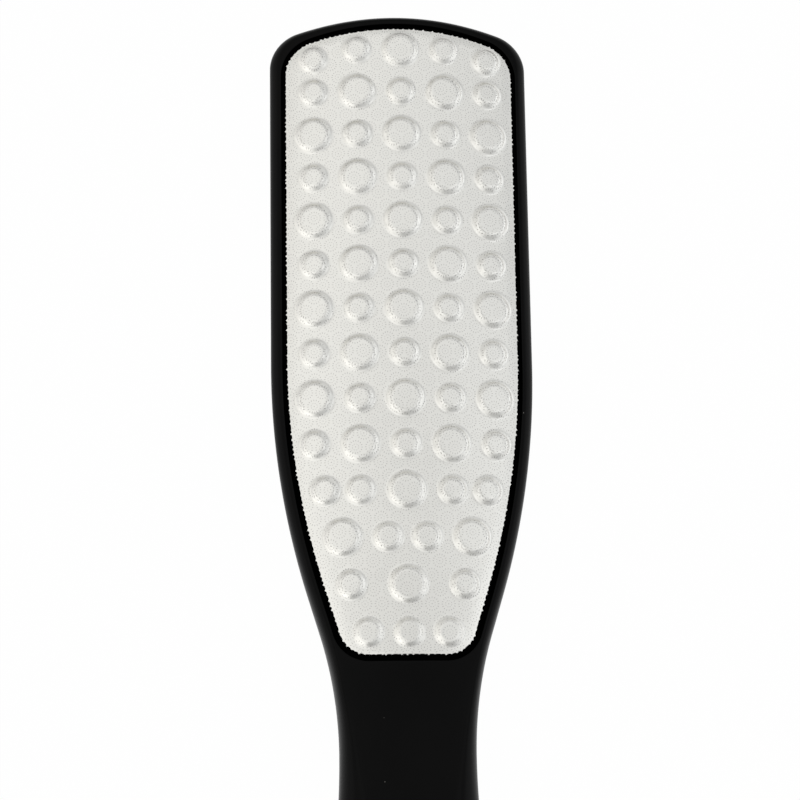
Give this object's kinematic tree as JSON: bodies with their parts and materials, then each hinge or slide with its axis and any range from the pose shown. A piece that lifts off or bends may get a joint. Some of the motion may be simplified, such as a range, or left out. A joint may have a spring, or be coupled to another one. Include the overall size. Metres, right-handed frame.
{
  "type": "foot file",
  "caption": "Two-sided paddle foot file with a coarse embossed nickel sheet, a fine flat sheet and a moulded handle with a hanging hole.",
  "frame": {"origin": "under the middle of the tool, on the surface that the belly of the grip lies on", "axes": "+Y from the butt of the handle to the tip of the head, +Z out of the coarse side, +X to the right when the coarse side faces the viewer with the head up"},
  "size_m": [0.0526, 0.26, 0.016],
  "materials": {
    "shell_plastic": "soft matte black, evenly moulded",
    "coarse_nickel": "satin nickel, embossed and etched",
    "fine_nickel": "satin nickel, finely etched",
    "adhesive": "double-sided foam adhesive"
  },
  "bodies": {
    "root": {"front_shell": "shell_plastic", "rear_shell": "shell_plastic", "coarse_sheet": "coarse_nickel", "coarse_adhesive_pad": "adhesive", "fine_sheet": "fine_nickel", "fine_adhesive_pad": "adhesive"}
  },
  "joints": []
}
